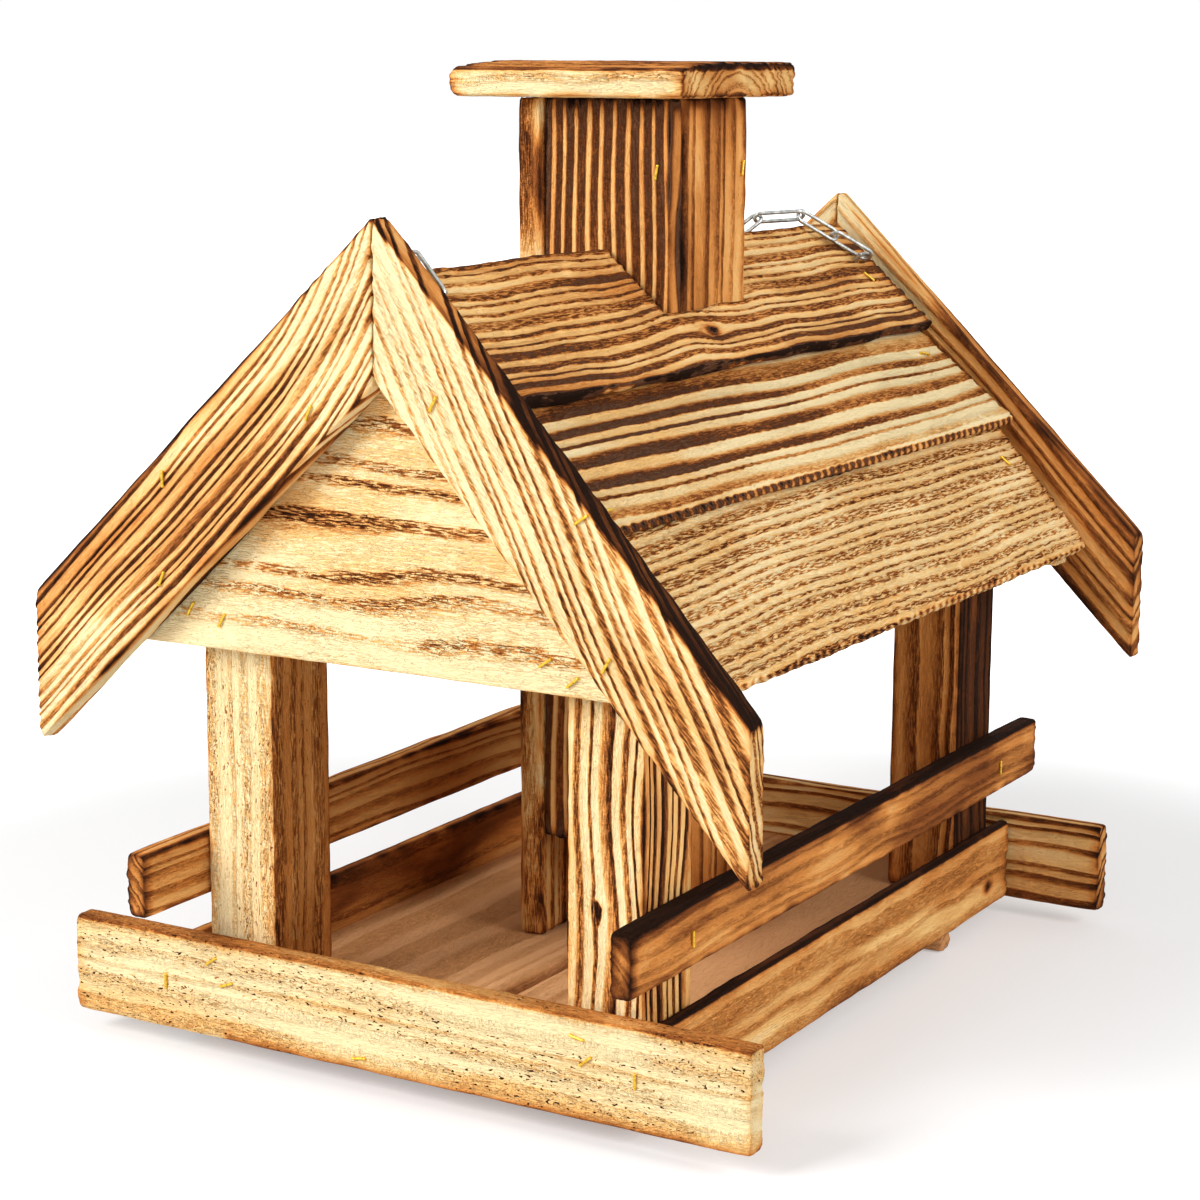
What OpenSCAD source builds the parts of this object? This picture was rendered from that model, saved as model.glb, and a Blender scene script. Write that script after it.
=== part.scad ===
// Hanging bird feeder: a scorched pine house on a seed tray, with a seed hopper
// that stands through the roof like a chimney, a lift-off lid and a steel chain.
// Lengths are millimetres, angles are degrees, Z is up. The model stands on its
// two bearers, and its origin is the middle of its outer box, on the ground.

/* [Tray] */
// Length of the front and back rails
rail_len = 330; // [300:1:380]
// Height of the front and back rails
rail_h = 43; // [36:1:52]
// Thickness of the front and back rails
rail_t = 12; // [9:0.5:16]
// Depth of the tray, from the front rail's face to the back rail's face
tray_depth = 379; // [350:1:430]
// Height of the side rails
side_rail_h = 39.5; // [32:0.5:44]
// Thickness of the side rails
side_rail_t = 7; // [5:0.5:7.5]
// How far the front rail's underside sits above those of the side rails
rail_lift = 1; // [0:0.5:4]
// How far the back rail sits below the front rail
back_rail_drop = 2; // [0:0.5:4]

/* [Floor and bearers] */
// Thickness of the floor boards
floor_t = 14; // [10:0.5:18]
// Gap between the two floor boards
floor_gap = 5; // [2:0.5:8]
// Place of that gap, to the right of the tray's middle
floor_gap_x = 5; // [-20:1:20]
// Height of the bearers that the feeder stands on
bearer_h = 9; // [6:0.5:16]
// Width of a bearer
bearer_w = 12.5; // [10:0.5:20]
// How far the bearers' ends stand in from the tray's sides
bearer_short = 3; // [0:0.5:15]
// Distance from the tray's front or back face to the middle of a bearer
bearer_inset = 81; // [50:1:110]

/* [Posts and railings] */
// Width of a post across the front
post_w = 35.5; // [28:0.5:42]
// Depth of a post
post_d = 41; // [34:0.5:44]
// Width of the house over the outer faces of its posts
post_span = 212; // [200:1:225]
// How far the house stands to the right of the tray's middle
house_x = 5.5; // [0:0.25:5.5]
// Gap between the back posts and the back rail
post_back_gap = 12; // [6:0.5:20]
// Height of a side railing
railing_h = 27.5; // [20:0.5:34]
// How much higher the left railing is at its back end
railing_rise = 3; // [0:0.5:5]
// Thickness of a side railing
railing_t = 10.5; // [8:0.5:14]
// Height of the railings' undersides above the ground
railing_z = 68.5; // [60:0.5:80]
// Length of a side railing
railing_len = 405; // [395:1:410]
// How far the right railing reaches past the front rail
railing_out_right = 15; // [12:1:24]
// How far the left railing reaches past the front rail
railing_out_left = 29; // [20:1:36]

/* [Gables and bargeboards] */
// Thickness of a gable board
gable_t = 15.5; // [13:0.5:18]
// Height of the gables' bottom edges above the ground
gable_z = 180; // [165:1:190]
// Thickness of a bargeboard
barge_t = 13; // [10:0.5:16]
// Height of the front bargeboards' point
front_apex_z = 359.5; // [356:0.5:366]
// Height of the back bargeboards' point
back_apex_z = 352.5; // [351:0.5:360]
// Slope of the left bargeboards
barge_slope_left = 42.8; // [42:0.1:43.5]
// Slope of the front right bargeboard
barge_slope_front = 47.2; // [46.5:0.1:47.5]
// Slope of the back right bargeboard
barge_slope_back = 44.4; // [43.5:0.1:45]
// Width of the front left bargeboard
barge_w_left = 48; // [44:0.5:56]
// Width of the front right bargeboard
barge_w_right = 43; // [40:0.5:50]
// Width of the back bargeboards
barge_w_back = 44.5; // [42:0.5:50]
// How far the left bargeboards reach from the ridge
barge_reach_left = 174; // [165:1:190]
// How far the front right bargeboard reaches from the ridge
barge_reach_right = 164; // [158:1:190]

/* [Roof] */
// Height of the ridge, at the top of the planks
ridge_z = 339; // [332:0.5:342]
// How far the ridge stands to the right of the tray's middle
ridge_x = 7; // [0:0.25:10]
// How far the planks run on behind the back gable
plank_overhang = 16; // [8:0.5:22]
// Thickness of the roof planks
plank_t = 7; // [5:0.25:8]
// How far each plank laps over the one below
lap = 12; // [8:0.5:16]
// Width of the upper planks
upper_w = 75; // [70:0.5:82]
// Width of the middle planks
middle_w = 74; // [68:0.5:82]
// Width of the lower planks
lower_w = 82; // [76:0.5:88]
// Slope of the upper planks
upper_slope = 41.5; // [40:0.1:43]
// Slope of the middle planks
middle_slope = 38; // [36:0.1:41]
// Slope of the lower planks
lower_slope = 49; // [46:0.1:51]

/* [Hopper and lid] */
// Width of the seed hopper, left to right
hopper_w = 75; // [66:0.5:80]
// Depth of the seed hopper, front to back
hopper_d = 72.5; // [64:0.5:84]
// Thickness of the hopper's boards
hopper_t = 12.5; // [9:0.5:14]
// Height of the hopper's open top above the ground
hopper_top = 401; // [385:1:420]
// Height of the seed gap between the floor and the front and back boards
seed_gap = 47; // [30:1:60]
// Place of the hopper, to the right of the tray's middle
hopper_x = 1; // [-2:0.5:8]
// Place of the hopper, behind the tray's middle
hopper_y = 5.5; // [-15:0.5:15]
// How far the left board stands out past the front board's face
hopper_lip = 2; // [0:0.5:4]
// Clearance round the hopper where it passes through the roof
notch_gap = 0.5; // [0.3:0.1:2]
// Width of the lid
lid_w = 116; // [104:0.5:124]
// Depth of the lid
lid_d = 103.5; // [94:0.5:110]
// Thickness of the lid at its front edge
lid_t = 12.5; // [9:0.5:18]
// How far the lid's worn top rises behind that edge
lid_rise = 3; // [0:0.5:5]
// Thickness of the block under the lid that keys it in the hopper
block_t = 12; // [8:0.5:18]
// Clearance between that block and the hopper's boards
block_gap = 1.5; // [0.5:0.1:3]
// How far the lid lies to the left of the hopper's middle
lid_left = 4; // [0:0.5:8]
// How far the lid lies before the hopper's middle
lid_forward = 3; // [0:0.5:8]

/* [Chain] */
// Outer length of a chain link
link_len = 26; // [25:0.25:27]
// Outer width of a chain link
link_w = 8; // [7.5:0.25:8.5]
// Diameter of the links' wire
link_wire = 1.9; // [1.6:0.1:2.1]
// Play between two links
link_slack = 1; // [0.8:0.05:1.1]
// How far down the right roof the back staple stands from the ridge
anchor_down = 30; // [26:0.5:34]
// Distance from the back staple to the back bargeboards
anchor_back_gap = 15.5; // [12:0.5:18]
// Distance from the front staple to the front bargeboards
anchor_front_gap = 7; // [7:0.5:12]
// Width of a chain staple
anchor_w = 12; // [11:0.5:14]
// Height of a chain staple's crown above the roof
anchor_h = 4.3; // [4.2:0.1:5]

/* [Staples] */
// Diameter of the staples' wire
staple_wire = 1.2; // [0.9:0.1:1.6]
// Width of a staple over its crown
staple_w = 7; // [5:0.5:10]
// How deep a staple's legs go through two boards
staple_leg = 19; // [16:0.5:22]

/* [Hidden] */

// Heights, from the ground up
side_z = bearer_h;
rail_z = side_z + rail_lift;
floor_z = side_z + floor_t;

// Depths, from the front rail's face backwards
back_in = tray_depth - rail_t;
front_post_y = rail_t;
back_post_y = back_in - post_back_gap - post_d;
front_gable_y = front_post_y - gable_t;
back_gable_y = back_post_y + post_d;
planks_y0 = front_gable_y;
planks_y1 = back_gable_y + gable_t + plank_overhang;
roof_run = planks_y1 - planks_y0;

// Places across the front. The right posts stand against the right side rail
tray_w = post_span + 2 * (house_x + side_rail_t);
bearer_len = tray_w - 2 * bearer_short;
left_post_x = house_x - post_span / 2;
right_post_x = house_x + post_span / 2 - post_w;

// Both back bargeboards end at one height, like a pair cut together
left_foot_drop = barge_reach_left * tan(barge_slope_left)
    + barge_w_back / cos(barge_slope_left);
back_reach_right = (left_foot_drop - barge_w_back / cos(barge_slope_back))
    / tan(barge_slope_back);

// Hopper box
hopper_x0 = hopper_x - hopper_w / 2;
hopper_x1 = hopper_x + hopper_w / 2;
hopper_y0 = tray_depth / 2 + hopper_y - hopper_d / 2;
hopper_y1 = hopper_y0 + hopper_d;

// The outer box, whose middle becomes the origin
x_min = min(-rail_len / 2, ridge_x - barge_reach_left);
x_max = max(rail_len / 2, ridge_x + max(barge_reach_right, back_reach_right));
y_min = min(planks_y0 - barge_t, -railing_out_left, -railing_out_right);
y_max = max(planks_y1 + barge_t + 0.8 * staple_wire,
    railing_len - railing_out_left, railing_len - railing_out_right);

module to_origin() {
    translate([-(x_min + x_max) / 2, -(y_min + y_max) / 2, 0]) children();
}

// A board between two corners
module board(low, high) {
    translate(low) cube(high - low);
}

// Roof profile: points are [outwards from the ridge, up from the ridge]
function down(slope) = [cos(slope), -sin(slope)];
function inward(slope) = [-sin(slope), -cos(slope)];

// Top corner of a plank's head, lapped under the foot of the plank above
function head_under(foot, above, own) =
    foot + plank_t * inward(above) - lap * down(min(above, own));

upper_foot = upper_w * down(upper_slope);
middle_head = head_under(upper_foot, upper_slope, middle_slope);
middle_foot = middle_head + middle_w * down(middle_slope);
lower_head = head_under(middle_foot, middle_slope, lower_slope);
lower_foot = lower_head + lower_w * down(lower_slope);

// The gable's edge runs from the ridge to the underside of each plank's head
gable_peak = [0, -plank_t / cos(upper_slope)];
middle_seat = middle_head + plank_t * inward(middle_slope);
lower_seat = lower_head + plank_t * inward(lower_slope);
function lower_underside(out) =
    lower_seat.y - (out - lower_seat.x) * tan(lower_slope);
gable_drop = ridge_z - gable_z;
gable_corner = lower_seat.x + (gable_drop + lower_seat.y) / tan(lower_slope);

// Posts stop under the lower planks
post_out = max(ridge_x - left_post_x, right_post_x + post_w - ridge_x);
post_top = ridge_z + lower_underside(post_out) - 0.3;

// Places a roof profile on one side of the ridge: side is 1 right, -1 left
module on_slope(side, y0, y1) {
    translate([ridge_x, y1, ridge_z]) rotate([90, 0, 0])
        mirror([side < 0 ? 1 : 0, 0, 0])
            linear_extrude(y1 - y0) children();
}

module plank_profile(head, slope, width) {
    foot = head + width * down(slope);
    polygon([head, foot, foot + plank_t * inward(slope),
        head + plank_t * inward(slope)]);
}

// The upper planks meet in a plumb joint along the ridge
module upper_profile() {
    polygon([[0, 0], upper_foot, upper_foot + plank_t * inward(upper_slope),
        gable_peak]);
}

// The hole that the hopper needs through the planks
module hopper_way() {
    board([hopper_x0 - notch_gap, hopper_y0 - hopper_lip - notch_gap, floor_z],
        [hopper_x1 + notch_gap, hopper_y1 + notch_gap, hopper_top]);
}

module front_rail() {
    color("wheat") to_origin()
        board([-rail_len / 2, 0, rail_z],
            [rail_len / 2, rail_t, rail_z + rail_h]);
}

module back_rail() {
    color("peru") to_origin()
        board([-rail_len / 2, back_in, rail_z - back_rail_drop],
            [rail_len / 2, tray_depth, rail_z - back_rail_drop + rail_h]);
}

module side_rail(x0) {
    color("sandybrown") to_origin()
        board([x0, rail_t, side_z],
            [x0 + side_rail_t, back_in, side_z + side_rail_h]);
}

module floor_board(x0, x1) {
    color("tan") to_origin()
        board([x0, rail_t, side_z], [x1, back_in, floor_z]);
}

module bearer(y) {
    color("burlywood") to_origin()
        board([-bearer_len / 2, y - bearer_w / 2, 0],
            [bearer_len / 2, y + bearer_w / 2, bearer_h]);
}

module post(x0, y0) {
    color("burlywood") to_origin()
        board([x0, y0, floor_z], [x0 + post_w, y0 + post_d, post_top]);
}

module railing(x0, out, rise) {
    color("saddlebrown") to_origin() translate([x0, -out, railing_z])
        rotate([90, 0, 90]) linear_extrude(railing_t)
            polygon([[0, 0], [railing_len, 0],
                [railing_len, railing_h + rise], [0, railing_h]]);
}

// A gable is one wide board whose top is cut to carry the planks
module gable(y0) {
    half = [[gable_corner, -gable_drop], lower_seat, middle_seat, gable_peak];
    color("navajowhite") to_origin()
        translate([ridge_x, y0 + gable_t, ridge_z]) rotate([90, 0, 0])
            linear_extrude(gable_t)
                polygon(concat(half,
                    [for (i = [2:-1:0]) [-half[i].x, half[i].y]]));
}

// Bargeboards are mitred plumb at the point and cut plumb at the eaves
module bargeboard(side, y0, apex_z, slope, width, reach) {
    depth = width / cos(slope);
    color("wheat") to_origin()
        translate([ridge_x, y0 + barge_t, apex_z]) rotate([90, 0, 0])
            mirror([side < 0 ? 1 : 0, 0, 0])
                linear_extrude(barge_t)
                    polygon([[0, 0], [reach, -reach * tan(slope)],
                        [reach, -reach * tan(slope) - depth], [0, -depth]]);
}

module upper_plank(side) {
    color("chocolate") to_origin() difference() {
        on_slope(side, planks_y0, planks_y1) upper_profile();
        hopper_way();
    }
}

module middle_plank(side) {
    color("navajowhite") to_origin() difference() {
        on_slope(side, planks_y0, planks_y1)
            plank_profile(middle_head, middle_slope, middle_w);
        hopper_way();
    }
}

module lower_plank(side) {
    color("burlywood") to_origin()
        on_slope(side, planks_y0, planks_y1)
            plank_profile(lower_head, lower_slope, lower_w);
}

// Hopper boards butt on each other in turn, and the side boards reach the floor
module hopper_front_board() {
    color("saddlebrown") to_origin()
        board([hopper_x0 + hopper_t, hopper_y0, floor_z + seed_gap],
            [hopper_x1, hopper_y0 + hopper_t, hopper_top]);
}

module hopper_back_board() {
    color("saddlebrown") to_origin()
        board([hopper_x0, hopper_y1 - hopper_t, floor_z + seed_gap],
            [hopper_x1 - hopper_t, hopper_y1, hopper_top]);
}

module hopper_left_board() {
    color("sandybrown") to_origin()
        board([hopper_x0, hopper_y0 - hopper_lip, floor_z],
            [hopper_x0 + hopper_t, hopper_y1 - hopper_t, hopper_top]);
}

module hopper_right_board() {
    color("sienna") to_origin()
        board([hopper_x1 - hopper_t, hopper_y0 + hopper_t, floor_z],
            [hopper_x1, hopper_y1, hopper_top]);
}

// The lid lies a little left of and before the hopper's middle
lid_x = hopper_x - lid_left;
lid_y = (hopper_y0 + hopper_y1) / 2 - lid_forward;

// Its top is worn down towards the front edge
module lid() {
    color("wheat") to_origin()
        translate([lid_x - lid_w / 2, lid_y - lid_d / 2, hopper_top])
            rotate([90, 0, 90]) linear_extrude(lid_w)
                polygon([[0, 0], [lid_d, 0], [lid_d, lid_t + 0.85 * lid_rise],
                    [0.36 * lid_d, lid_t + lid_rise],
                    [0.14 * lid_d, lid_t + 0.6 * lid_rise], [0, lid_t]]);
}

module lid_block() {
    inset = hopper_t + block_gap;
    color("tan") to_origin()
        board([hopper_x0 + inset, hopper_y0 + inset, hopper_top - block_t],
            [hopper_x1 - inset, hopper_y1 - inset, hopper_top]);
}

// Chain. Its joints lie on one line: from the back staple up over the ridge and
// down the left planks, forward in a loop over the middle plank, and up again
// over the ridge to the front staple. Each stretch holds whole links, and one
// link turns each sharp corner.
link_pitch = link_len - 2 * link_wire - link_slack;
link_bend = (link_w - link_wire) / 2;
chain_lift = link_bend * sin(45) + link_wire / 2 + 0.3;
ridge_out = 3;
ridge_turn = 0.78 * link_pitch;
foot_gap = 2;
foot_turn = 0.36 * link_pitch;

function mirrored(p) = [-p.x, p.y];
hull_slope = -atan((middle_foot.y - upper_foot.y)
    / (middle_foot.x - upper_foot.x));
function above_middle(up) = mirrored(middle_foot - up * down(hull_slope)
    - chain_lift * inward(hull_slope));
back_profile = [
    anchor_down * down(upper_slope) - anchor_h * inward(upper_slope),
    [ridge_out, chain_lift + 0.3],
    [ridge_out - ridge_turn, chain_lift - 0.9],
    mirrored(upper_foot - chain_lift * inward(upper_slope)),
    above_middle(foot_gap + foot_turn),
    above_middle(foot_gap)
];
back_legs = len(back_profile) - 1;
function leg_drop(i) = norm(back_profile[i + 1] - back_profile[i]);
function leg_links(i) = ceil(1.06 * leg_drop(i) / link_pitch);
function leg_run(i) = sqrt(pow(leg_links(i) * link_pitch, 2)
    - pow(leg_drop(i), 2));
function run_to(i) = i == 0 ? 0 : run_to(i - 1) + leg_run(i - 1);

// The front staple stands one link from the ridge, hidden by the bargeboard
front_drift = 4;
ridge_lift = -(back_profile[1] * inward(upper_slope));
front_down = back_profile[1] * down(upper_slope)
    + sqrt(pow(link_pitch, 2) - pow(front_drift, 2)
    - pow(ridge_lift - anchor_h, 2));
front_profile = [
    front_down * down(upper_slope) - anchor_h * inward(upper_slope),
    back_profile[1], back_profile[2], back_profile[3]
];
front_legs = len(front_profile) - 1;
function front_links(i) = i == 0 ? 1 : leg_links(i);
function front_run_to(i) = i == 0 ? 0 : front_drift + run_to(i) - run_to(1);

function at_back(i) = [ridge_x + back_profile[i].x,
    planks_y1 - anchor_back_gap - run_to(i), ridge_z + back_profile[i].y];
function at_front(i) = [ridge_x + front_profile[i].x,
    planks_y0 + anchor_front_gap + front_run_to(i),
    ridge_z + front_profile[i].y];

// The loop sags from the upper plank's foot at the front to the middle plank's
// foot at the back, with its lowest joint half way along its links
loop_start = at_front(front_legs);
loop_end = at_back(back_legs);
loop_fall = norm(back_profile[back_legs] - front_profile[front_legs]);
fall_way = (back_profile[back_legs] - front_profile[front_legs]) / loop_fall;
loop_run = loop_end.y - loop_start.y;
loop_half = norm([loop_run, loop_fall]) / 2;
loop_links = ceil(1.06 * loop_half / link_pitch);
loop_sag = sqrt(pow(loop_links * link_pitch, 2) - pow(loop_half, 2));
loop_down = loop_fall / 2 + loop_sag * loop_run / (2 * loop_half);
loop_back = loop_run / 2 - loop_sag * loop_fall / (2 * loop_half);
loop_foot = loop_start
    + [loop_down * fall_way.x, loop_back, loop_down * fall_way.y];

// Corners, link counts, slopes under the links and rolls of even and odd links,
// from the back staple to the front staple
chain_corners = concat([for (i = [0:back_legs]) at_back(i)], [loop_foot],
    [for (i = [front_legs:-1:0]) at_front(i)]);
stretch_links = concat([for (i = [0:back_legs - 1]) leg_links(i)],
    [loop_links, loop_links],
    [for (i = [front_legs - 1:-1:0]) front_links(i)]);
stretch_slopes = [upper_slope, 0, -upper_slope, -hull_slope, -hull_slope,
    -hull_slope, -hull_slope, -upper_slope, 0, upper_slope];
stretch_rolls = [[-75, 30], [-45, 45], [-45, 60], [-45, 45], [-45, 45],
    [-45, 45], [-45, 45], [-45, 45], [-45, 30], [-90, 30]];
stretches = len(stretch_links);
first_front = back_legs + 2;
function links_before(i) = i == 0 ? 0
    : links_before(i - 1) + stretch_links[i - 1];
link_count = links_before(stretches);

function unit(v) = v / norm(v);
function outward(slope) = [sin(slope), 0, cos(slope)];

// One link of round wire, long way along X and flat in XY
module link() {
    straight = link_len - link_w;
    for (side = [-1, 1]) {
        translate([0, side * link_bend, 0]) rotate([0, 90, 0])
            cylinder(h = straight, d = link_wire, center = true, $fn = 16);
        rotate([0, 0, side * 90]) translate([0, straight / 2, 0])
            rotate_extrude(angle = 180, $fn = 24)
                translate([link_bend, 0]) circle(d = link_wire, $fn = 16);
    }
}

// Stands a child with its X along one way and its Z rolled away from out
module laid(at, along, out, roll) {
    heading = atan2(along.y, along.x);
    pitch = -asin(along.z);
    across = out * [-sin(heading), cos(heading), 0];
    upward = out * [sin(pitch) * cos(heading), sin(pitch) * sin(heading),
        cos(pitch)];
    translate(at) rotate([-atan2(across, upward) - roll, pitch, heading])
        children();
}

module hanging_chain() {
    color("silver") to_origin() for (i = [0:stretches - 1]) {
        start = chain_corners[i];
        along = unit(chain_corners[i + 1] - start);
        for (k = [0:stretch_links[i] - 1]) {
            n = links_before(i) + k;
            parity = (i < first_front ? n : link_count - 1 - n) % 2;
            laid(start + (k + 0.5) * link_pitch * along, along,
                outward(stretch_slopes[i]), stretch_rolls[i][parity]) link();
        }
    }
}

// A staple of round wire: crown along X, legs down into the wood
module wire_staple(width, high, deep, wire) {
    half = (width - wire) / 2;
    translate([0, 0, high]) rotate([0, 90, 0])
        cylinder(h = 2 * half, d = wire, center = true, $fn = 16);
    for (side = [-1, 1]) translate([side * half, 0, -deep]) {
        cylinder(h = deep + high, d = wire, $fn = 16);
        translate([0, 0, deep + high]) sphere(d = wire, $fn = 16);
    }
}

// The chain's staples stand over the upper right plank by the bargeboards. Both
// crowns lie on one line, and the chain swings about it.
anchor_reach = link_wire + 1.2 - (link_len - link_wire - link_pitch) / 2;
function crown_at(corner, next) =
    chain_corners[corner] + anchor_reach
    * unit(chain_corners[next] - chain_corners[corner]);
back_crown = crown_at(0, 1);
front_crown = crown_at(stretches, stretches - 1);
crown_line = unit(back_crown - front_crown);
crown_turn = atan2(crown_line * [cos(upper_slope), 0, -sin(upper_slope)],
    crown_line.y);
module chain_staples() {
    color("silver") to_origin() for (crown = [back_crown, front_crown])
        translate(crown - anchor_h * outward(upper_slope))
            rotate([0, upper_slope, 0]) rotate([0, 0, 90 - crown_turn])
                wire_staple(anchor_w, anchor_h, plank_t - 0.5, link_wire);
}

// Small staples. A place is [across, up, turn] on a face that looks front,
// back, left or right
module driven(turn, leg = staple_leg) {
    rotate([0, 0, turn])
        wire_staple(staple_w, 0.3 * staple_wire, leg, staple_wire);
}

module on_front(x, y, z) {
    translate([x, y, z]) rotate([90, 0, 0]) children();
}

module on_back(x, y, z) {
    translate([x, y, z]) rotate([90, 0, 180]) children();
}

module on_right(x, y, z) {
    translate([x, y, z]) rotate([90, 0, 90]) children();
}

module on_left(x, y, z) {
    translate([x, y, z]) rotate([90, 0, -90]) children();
}

// Through the long rails into the side rails' ends, the floor and the posts
module tray_staples() {
    low = floor_t / 2 + side_z;
    high = rail_z + 0.8 * rail_h;
    half = rail_h / 2 + rail_z;
    side = tray_w / 2 - side_rail_t / 2;
    left = left_post_x + post_w / 2;
    right = right_post_x + post_w / 2;
    upper = rail_z + 0.59 * rail_h;
    places = [[-side, half, 90], [left - 0.22 * post_w, high, 35],
        [left, upper, 20], [-0.045 * rail_len, low, 10],
        [right - 0.14 * post_w, high, -10], [right - 0.03 * post_w, upper, 40],
        [side, half, 90]];
    color("gold") to_origin() {
        for (p = places) on_front(p.x, 0, p.y) driven(p.z);
        for (p = [places[0], places[3], places[6]])
            on_back(p.x, tray_depth, p.y) driven(p.z);
    }
}

// Through the railings into the posts
module railing_staples() {
    mid = railing_z + 0.45 * railing_h;
    color("gold") to_origin()
        for (y = [front_post_y + post_d / 2, back_post_y + post_d * 0.7]) {
            on_right(house_x + post_span / 2 + railing_t, y, mid) driven(90);
            on_left(house_x - post_span / 2 - railing_t, y, mid) driven(90);
        }
}

// Through the gables into the posts
module gable_staples() {
    left = left_post_x + post_w / 2;
    right = right_post_x + post_w / 2;
    function place(middle, across, up, turn) =
        [middle + across * post_w, gable_z + up * gable_drop, turn];
    places = [place(left, -0.31, 0.1, 60), place(left, 0.14, 0.08, 60),
        place(right, -0.48, 0.08, 35), place(right, -0.14, 0.04, 40)];
    color("gold") to_origin() for (p = places) {
        on_front(p.x, front_gable_y, p.y) driven(p.z);
        on_back(p.x, back_gable_y + gable_t, p.y) driven(p.z);
    }
}

// Through the bargeboards into the gables and the plank ends. Outs are shares of
// the reach, downs are shares of the width
module barge_row(side, slope, width, apex_z, reach, outs, downs, turns) {
    for (i = [0:len(outs) - 1]) {
        out = outs[i] * reach;
        z = apex_z - out * tan(slope) - downs[i] * width / cos(slope);
        translate([ridge_x + side * out, 0, z]) rotate([90, 0, 0])
            driven(turns[i]);
    }
}

module bargeboard_staples() {
    outs_left = [0.172, 0.592, 0.603];
    outs_right = [0.171, 0.567, 0.634];
    color("gold") to_origin() {
        translate([0, front_gable_y - barge_t, 0]) {
            barge_row(-1, barge_slope_left, barge_w_left, front_apex_z,
                barge_reach_left, outs_left, [0.75, 0.2, 0.8], [65, 90, 65]);
            barge_row(1, barge_slope_front, barge_w_right, front_apex_z,
                barge_reach_right, outs_right, [0.62, 0.12, 0.78], [60, 35, 60]);
        }
        translate([0, planks_y1 + barge_t, 0]) mirror([0, 1, 0]) {
            barge_row(-1, barge_slope_left, barge_w_back, back_apex_z,
                barge_reach_left, outs_left, [0.75, 0.35, 0.8], [65, 90, 65]);
            barge_row(1, barge_slope_back, barge_w_back, back_apex_z,
                back_reach_right, outs_right, [0.62, 0.3, 0.78], [60, 35, 60]);
        }
    }
}

// Through the roof planks into the gables' edges
module plank_row(side, foot, slope, up, turn) {
    at = foot - up * down(slope);
    for (y = [front_gable_y + gable_t / 2, back_gable_y + gable_t / 2])
        translate([ridge_x + side * at.x, y, ridge_z + at.y])
            rotate([0, side * slope, 0]) driven(turn, plank_t + 5);
}

module roof_staples() {
    color("gold") to_origin() for (side = [-1, 1]) {
        plank_row(side, upper_foot, upper_slope, 0.467 * upper_w, 20);
        plank_row(side, middle_foot, middle_slope, 0.676 * middle_w, 70);
        plank_row(side, lower_foot, lower_slope, 0.671 * lower_w, 30);
    }
}

// Through the hopper's boards into the edges of their neighbours
module hopper_staples() {
    edge = hopper_t / 2;
    leg = hopper_t + 5;
    above = (hopper_top + ridge_z) / 2;
    below = floor_z + seed_gap + 0.54 * (hopper_top - floor_z - seed_gap);
    color("gold") to_origin() for (z = [above, below]) {
        on_front(hopper_x1 - edge, hopper_y0, z) driven(80, leg);
        on_right(hopper_x1, hopper_y1 - edge, z) driven(80, leg);
        on_back(hopper_x0 + edge, hopper_y1, z) driven(80, leg);
        on_left(hopper_x0, hopper_y0 + edge, z) driven(80, leg);
    }
}

front_rail();
back_rail();
side_rail(-tray_w / 2);  // left_side_rail
side_rail(tray_w / 2 - side_rail_t);  // right_side_rail
floor_board(-tray_w / 2 + side_rail_t, floor_gap_x - floor_gap / 2);  // left_floor_board
floor_board(floor_gap_x + floor_gap / 2, tray_w / 2 - side_rail_t);  // right_floor_board
bearer(bearer_inset);  // front_bearer
bearer(tray_depth - bearer_inset);  // back_bearer
post(left_post_x, front_post_y);  // front_left_post
post(right_post_x, front_post_y);  // front_right_post
post(left_post_x, back_post_y);  // back_left_post
post(right_post_x, back_post_y);  // back_right_post
railing(left_post_x - railing_t, railing_out_left, railing_rise);  // left_railing
railing(right_post_x + post_w, railing_out_right, 0);  // right_railing
gable(front_gable_y);  // front_gable
gable(back_gable_y);  // back_gable
bargeboard(-1, front_gable_y - barge_t, front_apex_z, barge_slope_left,  // front_left_bargeboard
        barge_w_left, barge_reach_left);
bargeboard(1, front_gable_y - barge_t, front_apex_z, barge_slope_front,  // front_right_bargeboard
        barge_w_right, barge_reach_right);
bargeboard(-1, planks_y1, back_apex_z, barge_slope_left,  // back_left_bargeboard
        barge_w_back, barge_reach_left);
bargeboard(1, planks_y1, back_apex_z, barge_slope_back,  // back_right_bargeboard
        barge_w_back, back_reach_right);
upper_plank(-1);  // upper_left_plank
upper_plank(1);  // upper_right_plank
middle_plank(-1);  // middle_left_plank
middle_plank(1);  // middle_right_plank
lower_plank(-1);  // lower_left_plank
lower_plank(1);  // lower_right_plank
hopper_front_board();
hopper_back_board();
hopper_left_board();
hopper_right_board();
lid();
lid_block();
hanging_chain();
chain_staples();
tray_staples();
railing_staples();
gable_staples();
bargeboard_staples();
roof_staples();
hopper_staples();
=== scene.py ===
import math

import bpy
import numpy as np
from mathutils import Matrix, Vector


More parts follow.
